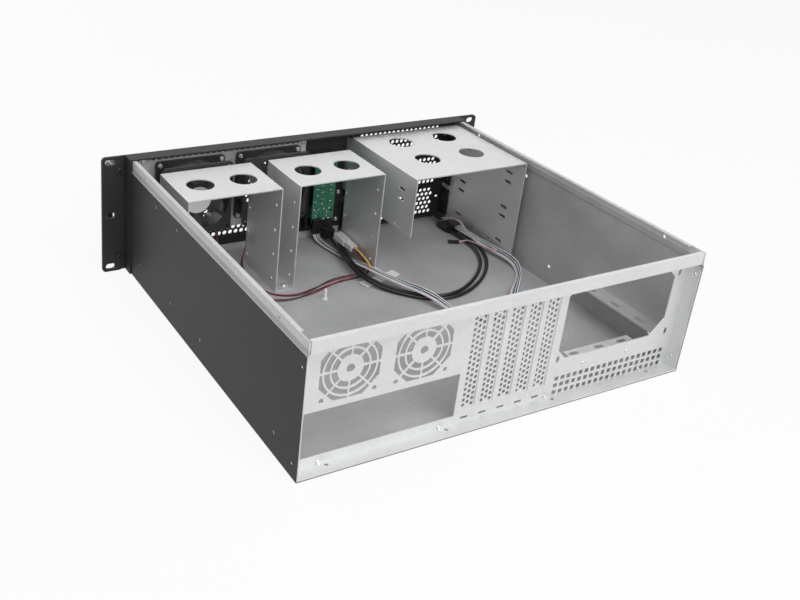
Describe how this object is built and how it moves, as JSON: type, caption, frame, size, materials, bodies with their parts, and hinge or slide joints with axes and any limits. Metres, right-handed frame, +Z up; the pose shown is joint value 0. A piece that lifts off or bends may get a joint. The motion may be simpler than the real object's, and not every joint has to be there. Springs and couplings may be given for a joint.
{
  "type": "empty rackmount server case",
  "caption": "Empty rackmount server case without its cover: eared front panel with handles, drive cages, front fans, loose wiring, and a rear panel with fan guards and perforated slot blanks.",
  "frame": {"origin": "centre of the bounding box's bottom face, on the surface that the case stands on", "axes": "+X across the case to the left seen from behind, +Y from the front panel to the rear panel, +Z up"},
  "size_m": [0.4826, 0.4302, 0.1325],
  "materials": {
    "case_sheet": "powder-coated black steel outside, bare galvanised steel inside",
    "black_panel": "satin black powder coat",
    "handle_metal": "satin black coated bar",
    "bare_sheet": "bare galvanised sheet steel, matt",
    "screw_metal": "zinc-plated steel",
    "fan_plastic": "moulded black plastic",
    "black_plastic": "moulded black plastic",
    "white_nylon": "natural white nylon",
    "board_green": "green solder mask on glass-fibre board",
    "lamp_plastic": "diffused lamp lens",
    "cable_black": "soft black cable sheath",
    "wire_white": "wire insulation in white, blue, grey, black and pink",
    "wire_pink": "pale pink wire insulation",
    "wire_yellow": "orange-yellow wire insulation",
    "wire_red": "dark red and black wire insulation"
  },
  "bodies": {
    "case": {"bay_cage": "bare_sheet", "bay_cage_screws": "screw_metal", "bay_cover_bottom": "black_panel", "bay_cover_middle": "black_panel", "bay_cover_top": "black_panel", "board_headers": "black_plastic", "board_support": "white_nylon", "board_switches": "black_plastic", "bracket_screws": "screw_metal", "cable_clip": "white_nylon", "cage_screws": "screw_metal", "chassis": "case_sheet", "control_board": "board_green", "control_holder": "black_plastic", "corner_lead": "wire_pink", "corner_plug": "black_plastic", "drive_cage_left": "bare_sheet", "drive_cage_middle": "bare_sheet", "fan_bracket": "bare_sheet", "fan_frame_left": "fan_plastic", "fan_frame_middle": "fan_plastic", "fan_lead_left": "wire_red", "fan_lead_middle": "wire_red", "fan_plug": "white_nylon", "fan_screws": "screw_metal", "front_panel": "black_panel", "handle_left": "handle_metal", "handle_right": "handle_metal", "handle_screws": "screw_metal", "holder_screws": "screw_metal", "lead_plugs": "black_plastic", "panel_ribbon": "wire_white", "pink_lead": "wire_pink", "pink_plug": "black_plastic", "plug_pair": "wire_yellow", "rail_rivets": "screw_metal", "rear_panel": "bare_sheet", "slot_cover_1": "bare_sheet", "slot_cover_2": "bare_sheet", "slot_cover_3": "bare_sheet", "slot_cover_4": "bare_sheet", "slot_cover_5": "bare_sheet", "slot_screws": "screw_metal", "status_lamps": "lamp_plastic", "supply_rear_rail": "bare_sheet", "supply_side_rail": "bare_sheet", "usb_cable_1": "cable_black", "usb_cable_2": "cable_black", "usb_plug_1": "black_plastic", "usb_plug_2": "black_plastic", "usb_ports": "screw_metal"},
    "left_rotor": {"fan_rotor_left": "fan_plastic"},
    "middle_rotor": {"fan_rotor_middle": "fan_plastic"},
    "power_key": {"power_button": "black_plastic"},
    "reset_key": {"reset_button": "black_plastic"}
  },
  "joints": [
    {"name": "left_fan_spin", "type": "hinge", "parent": "case", "child": "left_rotor", "pos_m": [0.143, -0.1638, 0.082], "axis": [0, 1, 0], "continuous": true},
    {"name": "middle_fan_spin", "type": "hinge", "parent": "case", "child": "middle_rotor", "pos_m": [0.0485, -0.1638, 0.082], "axis": [0, 1, 0], "continuous": true},
    {"name": "power_press", "type": "slide", "parent": "case", "child": "power_key", "axis": [0, 1, 0], "range_m": [0, 0.002], "stiffness_N_per_m": 400, "springref_m": -0.002},
    {"name": "reset_press", "type": "slide", "parent": "case", "child": "reset_key", "axis": [0, 1, 0], "range_m": [0, 0.002], "stiffness_N_per_m": 300, "springref_m": -0.002}
  ]
}
